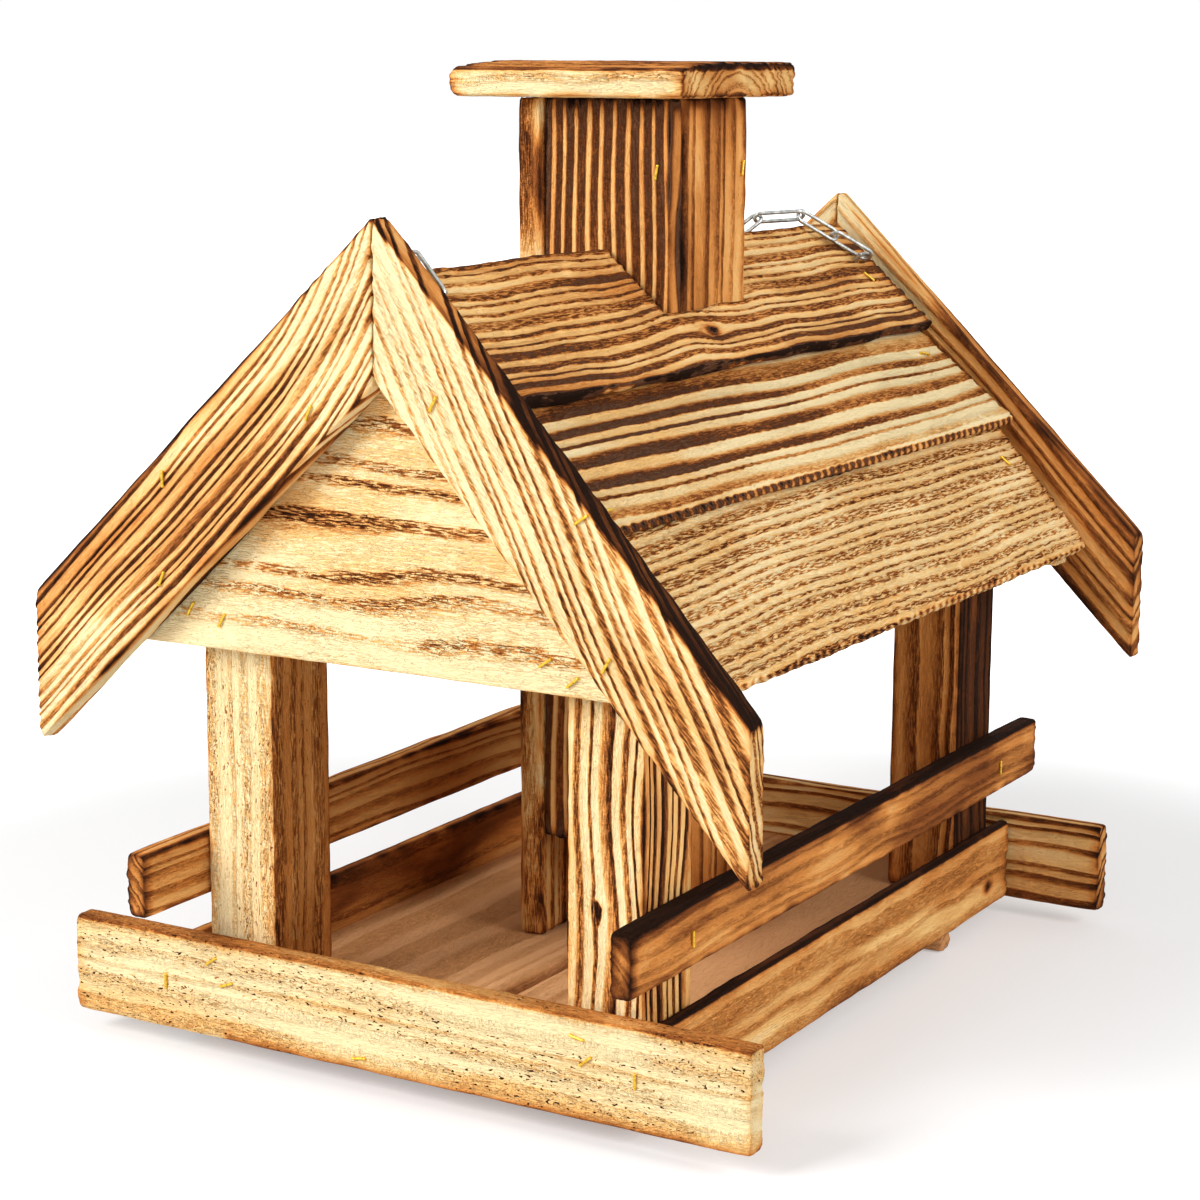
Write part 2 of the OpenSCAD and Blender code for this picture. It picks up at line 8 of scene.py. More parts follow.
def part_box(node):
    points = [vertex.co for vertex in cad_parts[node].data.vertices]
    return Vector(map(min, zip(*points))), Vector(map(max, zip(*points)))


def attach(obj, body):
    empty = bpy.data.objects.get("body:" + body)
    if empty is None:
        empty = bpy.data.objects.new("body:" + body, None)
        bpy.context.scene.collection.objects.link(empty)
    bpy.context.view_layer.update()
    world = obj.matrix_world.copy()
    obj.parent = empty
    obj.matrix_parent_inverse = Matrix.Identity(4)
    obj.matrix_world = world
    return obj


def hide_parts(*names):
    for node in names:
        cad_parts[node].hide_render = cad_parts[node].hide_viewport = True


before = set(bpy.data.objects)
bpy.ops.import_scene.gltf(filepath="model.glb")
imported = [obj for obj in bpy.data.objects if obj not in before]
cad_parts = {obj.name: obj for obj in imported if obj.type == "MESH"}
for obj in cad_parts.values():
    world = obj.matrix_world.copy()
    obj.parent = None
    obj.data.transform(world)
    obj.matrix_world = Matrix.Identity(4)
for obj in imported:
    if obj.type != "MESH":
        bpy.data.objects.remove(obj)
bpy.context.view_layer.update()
scene = bpy.context.scene

# CAMERA. It stands low in front of the feeder, to the left of its front rail, and
# looks slightly down, as the photograph was taken.
yaw, pitch, roll = (math.radians(a) for a in (30.4543, 11.1349, 0.2154))
ahead = Vector((-math.sin(yaw) * math.cos(pitch), math.cos(yaw) * math.cos(pitch), -math.sin(pitch)))
level = Vector((math.cos(yaw), math.sin(yaw), 0))
over = level.cross(ahead)
right = math.cos(roll) * level + math.sin(roll) * over
above = math.cos(roll) * over - math.sin(roll) * level
camera_data = bpy.data.cameras.new("camera")
camera_data.lens = 83.73
camera_data.sensor_width = 36
camera_data.clip_start = 0.05
camera = bpy.data.objects.new("camera", camera_data)
turn = Matrix((right, above, -ahead)).transposed()
camera.matrix_world = Matrix.Translation((0.61664, -1.07025, 0.42066)) @ turn.to_4x4()
scene.collection.objects.link(camera)
scene.camera = camera
scene.view_settings.view_transform = "Standard"


# FINISH KIT for this feeder: a socket of a finish can be added and multiplied like a
# number, and Paint adds any other node from its type, its settings and its inputs.
class Tone:
    """One socket of a finish. A sum or product on it adds the Math node that works it out."""

    def __init__(self, paint, socket):
        self.paint, self.socket = paint, socket

    def maths(self, operation, *others):
        inputs = dict(enumerate((self,) + others))
        node = self.paint.node("ShaderNodeMath", {"operation": operation}, inputs)
        return Tone(self.paint, node.outputs[0])

    def __add__(self, other):
        return self.maths("ADD", other)

    def __radd__(self, other):
        return self.maths("ADD", other)

    def __sub__(self, other):
        return self.maths("SUBTRACT", other)

    def __rsub__(self, other):
        return (self * -1.0).maths("ADD", other)

    def __mul__(self, other):
        return self.maths("MULTIPLY", other)

    def __rmul__(self, other):
        return self.maths("MULTIPLY", other)

    def over(self, other):
        return self.maths("MAXIMUM", other)

    def rise(self, low, high):
        """0 below low, 1 above high, and a smooth step between them."""
        node = self.paint.node("ShaderNodeMapRange", {"interpolation_type": "SMOOTHSTEP"},
                               {"Value": self, "From Min": low, "From Max": high})
        return Tone(self.paint, node.outputs["Result"])


class Paint:
    """The node tree of one finish."""

    def __init__(self, name):
        self.finish = bpy.data.materials.new(name)
        self.finish.use_nodes = True
        self.tree = self.finish.node_tree
        self.shader = self.tree.nodes["Principled BSDF"]

    def node(self, kind, settings=None, inputs=None):
        made = self.tree.nodes.new(kind)
        for key, value in (settings or {}).items():
            setattr(made, key, value)
        self.feed(made, inputs or {})
        return made

    def feed(self, node, inputs):
        for key, value in inputs.items():
            if isinstance(value, Tone):
                self.tree.links.new(value.socket, node.inputs[key])
            else:
                node.inputs[key].default_value = value

    def read(self, name, output="Fac"):
        node = self.node("ShaderNodeAttribute", {"attribute_type": "GEOMETRY", "attribute_name": name})
        return Tone(self, node.outputs[output])

    def grain(self, place, stretch, detail=2.0, twist=0.0, shift=0.0):
        """Noise whose grain is 1/stretch metres long, across and deep."""
        moved = self.node("ShaderNodeVectorMath", {"operation": "MULTIPLY_ADD"},
                          {0: place, 1: stretch, 2: (shift, shift * 1.7, shift * 0.6)})
        noise = self.node("ShaderNodeTexNoise", {"noise_dimensions": "3D"},
                          {"Vector": Tone(self, moved.outputs[0]), "Scale": 1.0, "Detail": detail,
                           "Distortion": twist})
        return Tone(self, noise.outputs["Fac"])

    def ramp(self, value, stops):
        node = self.node("ShaderNodeValToRGB", {}, {"Fac": value})
        edge = node.color_ramp.elements
        while len(edge) < len(stops):
            edge.new(0.5)
        for spot, (at, colour) in zip(edge, stops):
            spot.position = at
            spot.color = (*colour, 1)
        return Tone(self, node.outputs["Color"])

    def bump(self, height, distance, strength=1.0):
        node = self.node("ShaderNodeBump", {},
                         {"Height": height, "Distance": distance, "Strength": strength})
        return Tone(self, node.outputs["Normal"])


def rgb(red, green, blue):
    """A colour as it looks on a screen, 0 to 255, turned to the light that it stands for."""
    return tuple(((c / 255 + 0.055) / 1.055) ** 2.4 for c in (red, green, blue))


# FLOOR AND LIGHT. A white sweep that keeps the soft shadow near the feeder and turns
# plain white farther out, one wide lamp at the front left, a weaker one at the right,
# and a pale sky all round.
floor_reach = 9
shadow_kept = 0.2
shadow_ends = (0.38, 0.75)
floor_corners = [(x * floor_reach, y * floor_reach, 0) for x, y in ((-1, -1), (1, -1), (1, 1), (-1, 1))]
floor_data = bpy.data.meshes.new("floor")
floor_data.from_pydata(floor_corners, [], [(0, 1, 2, 3)])
floor = bpy.data.objects.new("floor", floor_data)
scene.collection.objects.link(floor)
white = Paint("white sweep")
white.feed(white.shader, {"Base Color": (0.8, 0.8, 0.8, 1), "Roughness": 1.0})
white.shader.inputs["Specular IOR Level"].default_value = 0.0
place = Tone(white, white.node("ShaderNodeTexCoord").outputs["Object"])
length_of = white.node("ShaderNodeVectorMath", {"operation": "LENGTH"}, {0: place})
away = Tone(white, length_of.outputs["Value"])
seen = Tone(white, white.node("ShaderNodeLightPath").outputs["Is Camera Ray"])
glow = white.node("ShaderNodeEmission", {}, {"Color": (1, 1, 1, 1), "Strength": 1.75})
share = seen * (shadow_kept + (1 - shadow_kept) * away.rise(*shadow_ends))
blend = white.node("ShaderNodeMixShader", {}, {0: share})
white.tree.links.new(white.shader.outputs[0], blend.inputs[1])
white.tree.links.new(glow.outputs[0], blend.inputs[2])
white.tree.links.new(blend.outputs[0], white.tree.nodes["Material Output"].inputs["Surface"])
floor_data.materials.append(white.finish)

sky = bpy.data.worlds.new("sky")
sky.use_nodes = True
scene.world = sky
sky_tree = sky.node_tree
sky_nodes = sky_tree.nodes
path = sky_nodes.new("ShaderNodeLightPath")
direct = sky_nodes.new("ShaderNodeMath")
direct.operation = "MAXIMUM"
sky_tree.links.new(path.outputs["Is Camera Ray"], direct.inputs[0])
sky_tree.links.new(path.outputs["Is Glossy Ray"], direct.inputs[1])
level_of = sky_nodes.new("ShaderNodeMapRange")
level_of.inputs["To Min"].default_value = 0.52
level_of.inputs["To Max"].default_value = 1.0
sky_tree.links.new(direct.outputs[0], level_of.inputs["Value"])
sky_tree.links.new(level_of.outputs["Result"], sky_nodes["Background"].inputs["Strength"])
sky_nodes["Background"].inputs["Color"].default_value = (1, 1, 1, 1)

lit_point = Vector((0, 0, 0.2))
for name, spot, power in (
    ("front_lamp", (-0.75, -1.65, 1.15), 40),
    ("right_lamp", (1.9, -0.2, 1.15), 24),
):
    lamp_data = bpy.data.lights.new(name, "AREA")
    lamp_data.size = 0.9
    lamp_data.energy = power
    lamp = bpy.data.objects.new(name, lamp_data)
    lamp.location = spot
    lamp.rotation_mode = "QUATERNION"
    lamp.rotation_quaternion = (lit_point - Vector(spot)).to_track_quat("-Z", "Y")
    scene.collection.objects.link(lamp)


# FRONT AND BACK RAILS. Sawn pine battens, flamed and brushed so that the soft wood
# lies lower than the year rings, and stapled to the side rails' ends. The functions
# that every board is made by stand here, where they are first used.
def stations(length, step):
    """Fractions of one side of a board: even steps, with two close lines by each arris."""
    first, second = 0.0004, 0.0012
    inner = np.linspace(second, length - second, max(2, round(length / step)))
    return np.concatenate([[0, first], inner, [length - first, length]]) / length


def ripple(x, y, seed, scales, count=7):
    """Smooth noise near -1 to 1: a sum of sine waves with set wavelengths and free phases."""
    draw = np.random.default_rng(seed)
    total = 0
    for _ in range(count):
        a, b = draw.normal(size=2)
        total = total + np.sin(2 * np.pi * (a * x / scales[0] + b * y / scales[1]) + draw.uniform(0, 6.28))
    return total / math.sqrt(count)


def year_rings(u, v, w, log):
    """Ring number at a place in a board. It is the distance from the pith line, which lies at
    log["pith"] across and deep and wanders along the grain, over the ring width, with some rings
    wider than others. Round a knot the grain parts as water does round a stone."""
    for ku, kv, kr in log.get("knots", ()):
        du, dv = (u - ku) / 2.2, v - kv
        far = np.maximum(du**2 + dv**2, 1e-9)
        round_knot = kv + dv * np.clip(1 - kr**2 / far, 0, 1)
        v = round_knot - np.where(far < kr**2, kr - np.sqrt(far), 0)
    seed = log["seed"]
    bend, bend_length = log.get("bend", (0.0, 1.0))
    v = v + bend * np.exp(-u / bend_length)
    lean = log.get("lean", 0.0)
    sway = log.get("sway", 0.0015)
    v = v - lean * u + sway * ripple(u, v, seed, (0.17, 0.12))
    away = np.hypot(v - log["pith"][0], w - log["pith"][1])
    number = away / log["ring"]
    varied = 0.33 * np.sin(1.9 * number + seed) + 0.18 * np.sin(4.3 * number + 2.0 * seed)
    return number + log.get("varied", 0.7) * varied + seed * 7


def skin(solid):
    """The outer squares of a block of lattice cells: each side of a full cell that faces an empty one.
    Returns the lattice points used and the squares, turned outwards for a right-handed lattice."""
    nu, nv, nw = (n + 1 for n in solid.shape)
    padded = np.pad(solid, 1)
    squares = []
    for axis in range(3):
        for side in (0, 1):
            other = np.roll(padded, -1 if side else 1, axis)[1:-1, 1:-1, 1:-1]
            cells = np.argwhere(solid & ~other)
            corners = []
            for b, c in ((0, 0), (1, 0), (1, 1), (0, 1)):
                spot = cells.copy()
                spot[:, axis] += side
                spot[:, (axis + 1) % 3] += b
                spot[:, (axis + 2) % 3] += c
                corners.append((spot[:, 0] * nv + spot[:, 1]) * nw + spot[:, 2])
            if not side:
                corners.reverse()
            squares.append(np.stack(corners, 1))
    used, squares = np.unique(np.concatenate(squares), return_inverse=True)
    return used, squares.reshape(-1, 4)


def brushed(fractions, metres, ring, size, log, edge, ragged):
    """The fractions, drawn in from each side by what was worn off there: the soft wood of each ring
    by log["groove"], the arrises by 0.7 mm, the sawn ends by up to ragged, and the far edge by
    waves, edge = (depth, wavelength)."""
    (s, t, r), (u, v, w), (long, wide, deep) = fractions, metres, size
    seed = log["seed"]
    part = ring % 1.0
    start_late = 1 - log.get("late", 0.45)
    late = np.clip((part - start_late + 0.1) / 0.2, 0, 1) * np.clip((0.99 - part) / 0.08, 0, 1)
    hollow = log["groove"] * (1 - late)
    hollow = hollow + 0.00012 * (1 + ripple(u, v, seed + 3, (0.02, 0.004)))
    worn = 0.0007
    end_worn = worn * np.exp(-np.minimum(s, 1 - s) * long / worn)
    face = hollow + worn * np.exp(-np.minimum(t, 1 - t) * wide / worn) + end_worn
    side = 0.4 * hollow + worn * np.exp(-np.minimum(r, 1 - r) * deep / worn) + end_worn
    wave = edge[0] * (0.5 + 0.5 * ripple(u, w * 0.3, seed + 5, (edge[1], 0.02)))
    butt = 0.5 * hollow + ragged * (1 + ripple(v, w, seed + 9, (0.012, 0.006))) * 0.5
    low_u, high_u = butt[:1], butt[-1:]
    low_v, high_v = side[:, :1], (side + np.clip(wave, 0, None))[:, -1:]
    low_w, high_w = face[:, :, :1], face[:, :, -1:]
    return ((low_u + s * (long - low_u - high_u)) / long,
            (low_v + t * (wide - low_v - high_v)) / wide,
            (low_w + r * (deep - low_w - high_w)) / deep)


def burnt_deeper(fractions, metres, size, log, sooty, zone):
    """Burn on top of the finish's own: sooty[0] along the arrises, sooty[1] at the sawn ends, some
    round each knot, and zone(u, v, w), which is a board's own."""
    (s, t, r), (u, v, w), (long, wide, deep) = fractions, metres, size
    to_end = np.minimum(s, 1 - s) * long
    to_sides = (to_end, np.minimum(t, 1 - t) * wide, np.minimum(r, 1 - r) * deep)
    to_arris = np.sort(np.stack(np.broadcast_arrays(*to_sides)), 0)[1]
    soot = sooty[0] * np.exp(-to_arris / 0.0016) + sooty[1] * np.exp(-to_end / 0.006)
    soot = soot * (0.75 + 0.4 * ripple(u, v + w, log["seed"] + 11, (0.03, 0.03)))
    for ku, kv, kr in log.get("knots", ()):
        soot = soot + 0.7 * np.exp(-(((u - ku) / 1.3)**2 + (v - kv)**2) / kr**2)
    return soot if zone is None else soot + zone(u, v, w)


def timber(name, nodes, body, slot, finish, size, axes, start, log, shape=None, step=0.004, row=0.001,
           layer=0.0025, notch=None, ragged=0.0006, edge=(0.0, 0.03), sooty=(0.0, 0.0), zone=None):
    """One board as a closed lattice skin. size is its length along the grain, width and thickness;
    axes are its ways along, across and out of the show face, and start its lowest corner. step, row
    and layer space the lattice, notch cuts cells out, and shape bends fractions of the three sides
    to metres. log holds its year rings, and the last four what brushed and burnt_deeper take."""
    shape = shape or (lambda s, t, r: (s * size[0], t * size[1], r * size[2]))
    lines = [stations(size[0], step), stations(size[1], row), stations(size[2], layer)]
    if notch:
        for side, marks in enumerate(notch["lines"]):
            lines[side] = np.unique(np.round(np.concatenate([lines[side], marks]), 7))
    fractions = np.meshgrid(*lines, indexing="ij")
    solid = np.ones([len(x) - 1 for x in lines], bool)
    if notch:
        middle = [(x[1:] + x[:-1]) / 2 for x in lines]
        solid &= ~notch["cut"](*np.meshgrid(*middle, indexing="ij"))
    metres = shape(*fractions)
    ring = year_rings(*metres, log)
    soot = burnt_deeper(fractions, metres, size, log, sooty, zone)
    drawn_in = brushed(fractions, metres, ring, size, log, edge, ragged)
    axes = np.array(axes, float)
    spots = np.stack(shape(*drawn_in), -1).reshape(-1, 3) @ axes + np.array(start, float)
    used, squares = skin(solid)
    if np.linalg.det(axes) < 0:
        squares = squares[:, ::-1]
    mesh = bpy.data.meshes.new(name)
    mesh.vertices.add(len(used))
    mesh.vertices.foreach_set("co", spots[used].astype(np.float32).ravel())
    mesh.loops.add(squares.size)
    mesh.loops.foreach_set("vertex_index", squares.astype(np.int32).ravel())
    mesh.polygons.add(len(squares))
    mesh.polygons.foreach_set("loop_start", np.arange(len(squares), dtype=np.int32) * 4)
    mesh.update(calc_edges=True)
    mesh.shade_smooth()
    for key, values in (("ring", ring), ("soot", soot)):
        kept = mesh.attributes.new(key, "FLOAT", "POINT")
        kept.data.foreach_set("value", values.reshape(-1)[used].astype(np.float32))
    lie = mesh.attributes.new("lie", "FLOAT_VECTOR", "POINT")
    here = np.stack(metres, -1).reshape(-1, 3)[used] + log["seed"] * 0.37
    lie.data.foreach_set("vector", here.astype(np.float32).ravel())
    mesh.materials.append(finish)
    piece = bpy.data.objects.new(name, mesh)
    scene.collection.objects.link(piece)
    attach(piece, body)
    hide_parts(*nodes)
    return piece


def cut_from_log(seed, pith, ring, groove=0.0005, **more):
    """How a board lay in its log: the pith line's place across and deep, the mean width of a year
    ring, and how deep the brush went. more may give late, varied, sway, lean, bend and knots."""
    return {"seed": seed, "pith": pith, "ring": ring, "groove": groove, **more}


def outline_of(node):
    """The node's corners as rows of numbers."""
    return np.array([v.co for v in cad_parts[node].data.vertices], float)


def far_edge(places, depth=0.0006):
    """True in the last rows before a board's far side, where places across it are largest."""
    return places > places.max() - depth


def scorched(name, tones, late=0.45, bite=0.5, base=0.1, fleck=0.13, patch=0.4, worm=0.4, speck=0.0,
             uneven=0.5, wobble=0.12):
    """Flamed and brushed pine, whose tones run from unburnt to black. All is burnt by base, and the
    late wood of each ring by bite more, some years deeper than others by uneven, in bands that
    wobble. Short flecks along the grain break the bands, worm-like checks cluster in them, long
    patches of flame lie over all, and specks are pores burnt black."""
    paint = Paint(name)
    lie, ring, soot = paint.read("lie", "Vector"), paint.read("ring"), paint.read("soot")
    shake = paint.grain(lie, (60, 520, 520), 4.0)
    turned = ring + (shake - 0.5) * wobble
    part = turned.maths("FRACT")
    year = paint.node("ShaderNodeTexWhiteNoise", {"noise_dimensions": "1D"}, {"W": turned.maths("FLOOR")})
    late_wood = part.rise(1 - late - 0.2, 1 - late + 0.14) * (1 - part.rise(0.88, 0.985))
    deep = late_wood * (1 - uneven + uneven * Tone(paint, year.outputs["Value"]))
    flecks = paint.grain(lie, (170, 1300, 1300), 3.0, 0.5, 3.1).rise(0.4, 0.6)
    patches = paint.grain(lie, (10, 42, 42), 3.0, 0.5, 7.7)
    worms = paint.grain(lie, (130, 640, 640), 2.0, 1.3, 1.3)
    crack = (1 - (worms - 0.5).maths("ABSOLUTE").rise(0.006, 0.026)) * (late_wood * 0.75 + 0.25)
    crack = crack * patches.rise(0.4, 0.56)
    pores = paint.grain(lie, (420, 900, 900), 1.0, 0.2, 5.9).rise(0.67, 0.7)
    across = paint.grain(lie, (800, 300, 300), 2.0, 0.6, 9.3)
    checks = (1 - (across - 0.5).maths("ABSOLUTE").rise(0.0, 0.03)) * late_wood
    fine = paint.grain(lie, (700, 2600, 2600), 2.0, 0.3, 4.4)
    burn = base + deep * bite + (flecks - 0.5) * (late_wood * 0.8 + 0.2) * fleck
    burn = burn + checks * (0.12 * bite) + (fine - 0.5) * 0.12
    burn = burn + (patches - 0.5) * patch + soot
    burn = burn.over(crack * worm).over(pores * patches.rise(0.42, 0.54) * speck)
    height = flecks * 0.25 + fine * 0.5 + late_wood * 0.5 - crack * 0.9 - checks * 0.35 - pores * 0.8
    paint.feed(paint.shader, {
        "Base Color": paint.ramp(burn, tones),
        "Roughness": 0.74 + burn.rise(0.4, 0.8) * 0.12,
        "Normal": paint.bump(height, 0.001),
    })
    paint.shader.inputs["Specular IOR Level"].default_value = 0.05
    return paint.finish


# The tones of burnt pine, from unburnt to black. Ash is the grey brown of the deepest
# bands on the roof and the hopper: partly the char's own grey, partly a painted sheen
# of light glancing off the char.
CREAM = rgb(252, 228, 176)
STRAW = rgb(250, 198, 124)
ORANGE = rgb(224, 145, 72)
TOAST = rgb(152, 86, 40)
UMBER = rgb(88, 47, 23)
ASH_AND_SHEEN = rgb(112, 76, 54)
SOOT = rgb(40, 22, 12)

pale_burn = ((0.0, CREAM), (0.22, STRAW), (0.42, ORANGE), (0.6, TOAST), (0.8, UMBER), (1.0, SOOT))
# The ash tones carry the grey brown that is partly a painted sheen off the char.
ash_and_sheen_burn = ((0.0, CREAM), (0.2, STRAW), (0.38, ORANGE), (0.52, TOAST), (0.64, UMBER), (0.8, ASH_AND_SHEEN),
            (1.0, SOOT))
X, Y, Z = (1, 0, 0), (0, 1, 0), (0, 0, 1)
minus = {X: (-1, 0, 0), Y: (0, -1, 0), Z: (0, 0, -1)}


def squared(name, node, body, slot, finish, grain, across, face, log, **more):
    """A board with square ends, from its CAD node's box: grain, across and face are its ways."""
    low, high = (np.array(c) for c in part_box(node))
    axes = np.array([grain, across, face], float)
    start = np.where(axes.sum(0) > 0, low, high)
    size = tuple(np.abs(axes @ (high - low)))
    return timber(name, [node], body, slot, finish, size, axes, start, log, **more)


rail_pine = scorched("pale rail pine", pale_burn, bite=0.12, fleck=0.1, patch=0.65, base=-0.02, worm=0.42,
                     speck=0.9)
back_pine = scorched("striped rail pine", pale_burn, bite=0.5, fleck=0.13, patch=0.5, base=0.2)


def rail_burn(u, v, w):
    """A burnt lower edge that starts 80 mm from the left end, and a browned top edge."""
    return 0.45 * np.exp(-v / 0.003) * (u > 0.08) + 0.3 * far_edge(v)


squared("front_rail_board", "front_rail", "house", "pale_pine", rail_pine, X, Z, minus[Y],
        cut_from_log(1, (-0.09, 0.02), 0.009, 0.0003), sooty=(0.2, 0.1), zone=rail_burn)
squared("back_rail_board", "back_rail", "house", "warm_pine", back_pine, X, Z, minus[Y],
        cut_from_log(2, (-0.02, -0.03), 0.006), sooty=(0.35, 0.2))

# SIDE RAILS. Thin boards that close the tray's sides under the railings; the right
# one shows its orange outer face and a black top edge, the left one is brown: its
# darker tone all over is painted shade.
side_pine = scorched("orange side pine", pale_burn, bite=0.12, fleck=0.1, patch=0.9, base=0.33, worm=0.3)
squared("right_side_rail_board", "right_side_rail", "house", "warm_pine", side_pine, Y, Z, X,
        cut_from_log(3, (-0.03, -0.05), 0.0085, 0.0004, knots=((0.33, 0.011, 0.003),)), sooty=(0.35, 0.2),
        zone=lambda u, v, w: 0.5 * far_edge(v))
# The left rail's 0.24 more burn all over is painted shade.
squared("left_side_rail_board", "left_side_rail", "house", "warm_pine", side_pine, Y, Z, X,
        cut_from_log(4, (0.06, -0.03), 0.008, 0.0004), sooty=(0.4, 0.3), zone=lambda u, v, w: 0.24)

# FLOOR BOARDS AND BEARERS. Smooth planed boards with a dark gap between them, and
# the two battens that the feeder stands on. They weren't flamed.
planed_tones = ((0.0, rgb(244, 184, 128)), (0.35, rgb(230, 164, 106)), (0.7, rgb(192, 126, 74)),
                (1.0, rgb(98, 58, 36)))
floor_pine = scorched("planed floor pine", planed_tones, bite=0.35, fleck=0.096, patch=0.3, base=0.02,
                      worm=0.1)
for seed, node in ((5, "left_floor_board"), (6, "right_floor_board")):
    squared(node + "_planed", node, "house", "planed_pine", floor_pine, Y, X, Z,
            cut_from_log(seed, (0.05, -0.04), 0.007, 0.00012), sooty=(0.4, 0.1), layer=0.004)
for seed, node in ((7, "front_bearer"), (8, "back_bearer")):
    squared(node + "_batten", node, "house", "planed_pine", floor_pine, X, Y, Z,
            cut_from_log(seed, (0.02, -0.02), 0.004, 0.0002), sooty=(0.3, 0.3))

# POSTS. Four square pine posts, each burnt in its own way: the front left one pale
# and flecked, the front right one striped and knotty, the back ones orange brown. The
# right side face of each is darker: partly deeper burn, partly painted shade.
post_fleck = scorched("pale flecked post pine", pale_burn, bite=0.12, fleck=0.26, patch=0.3, base=0.03,
                      worm=0.55, speck=0.6)
post_stripe = scorched("striped post pine", pale_burn, bite=0.84, fleck=0.3, patch=0.6, base=0.02,
                       late=0.38, uneven=0.45)
post_brown = scorched("brown post pine", pale_burn, bite=0.35, fleck=0.22, patch=0.5, base=0.38)
post_knot = (0.0692, 0.0148, 0.0022)
# The last number darkens each post's right side face: partly deeper burn, partly painted shade.
for node, slot, finish, seed, ring, groove, knots, side_burn_and_shade in (
    ("front_left_post", "pale_pine", post_fleck, 11, 0.006, 0.0003, (), 0.34),
    ("front_right_post", "warm_pine", post_stripe, 12, 0.004, 0.0006, (post_knot,), 0.26),
    ("back_left_post", "warm_pine", post_brown, 13, 0.005, 0.0006, (), 0.0),
    ("back_right_post", "warm_pine", post_brown, 14, 0.006, 0.0005, (), 0.4),
):
    squared(node + "_timber", node, "house", slot, finish, Z, X, minus[Y],
            cut_from_log(seed, (-0.03, -0.03), ring, groove, knots=knots), layer=0.001, sooty=(0.35, 0.2),
            zone=lambda u, v, w, burn=side_burn_and_shade: burn * far_edge(v, 0.0003))

# RAILINGS. Battens stapled on the posts' outer sides, reaching past the tray at
# both ends; the right one is burnt dark walnut brown, the left one rises to the back.
railing_dark = scorched("walnut brown railing pine", pale_burn, bite=0.08, fleck=0.06, patch=0.9, base=0.42,
                        worm=0.2)
railing_soft = scorched("soft brown railing pine", pale_burn, bite=0.28, fleck=0.096, patch=0.4, base=0.3,
                        worm=0.2)
squared("right_railing_batten", "right_railing", "house", "charred_pine", railing_dark, Y, Z, X,
        cut_from_log(15, (-0.02, -0.03), 0.004, 0.0003), sooty=(0.4, 0.1), layer=0.0015,
        zone=lambda u, v, w: 0.4 * far_edge(v) + 0.2 * np.exp(-(v.max() - v) / 0.004))
low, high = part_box("left_railing")
span = high - low
rise = 0.003
squared("left_railing_batten", "left_railing", "house", "charred_pine", railing_soft, Y, Z, X,
        cut_from_log(16, (-0.02, -0.03), 0.004, 0.0003), sooty=(0.4, 0.1), layer=0.0015,
        shape=lambda s, t, r: (s * span.y, t * (span.z - rise + rise * s), r * span.x))

# GABLES. One wide board each, pale with wormy brown streaks across, whose top edge
# is cut in three slopes a side to carry the roof planks.
gable_pine = scorched("pale gable pine", pale_burn, bite=0.4, fleck=0.62, patch=0.9, base=0.02, worm=0.75,
                      wobble=0.5)
for node, seed, face in (("front_gable", 21, minus[Y]), ("back_gable", 22, Y)):
    low, high = (np.array(c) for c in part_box(node))
    corners = np.unique(outline_of(node)[:, [0, 2]].round(6), axis=0)
    top_x = corners[:, 0]
    top_z = corners[:, 1] - low[2]
    margin = 0.0012
    across_x = high[0] - low[0] - 2 * margin

    def gable_shape(s, t, r, low=low, high=high, top_x=top_x, top_z=top_z, across_x=across_x, margin=margin):
        """Fractions to metres: the height at each place across is that of the sloping top edge."""
        x = margin + s * across_x
        return x, t * np.interp(x + low[0], top_x, top_z), r * (high[1] - low[1])

    def gable_burn(u, v, w):
        """Paler in a band near the lower edge, a little deeper above it."""
        band, half_width = 0.01, 0.022
        return 0.08 - 0.24 * np.exp(-((v - band) / half_width)**2)

    timber(node + "_board", [node], "house", "pale_pine", gable_pine,
           (across_x, high[2] - low[2], high[1] - low[1]), [X, Z, face],
           (low[0], high[1] if face == minus[Y] else low[1], low[2]),
           cut_from_log(seed, (-0.06, -0.05), 0.0125, 0.0004, sway=0.0016, late=0.4,
                        knots=((0.1546, 0.0133, 0.0013),)),
           shape=gable_shape, step=0.003, row=0.0011, sooty=(0.25, 0.0), zone=gable_burn)

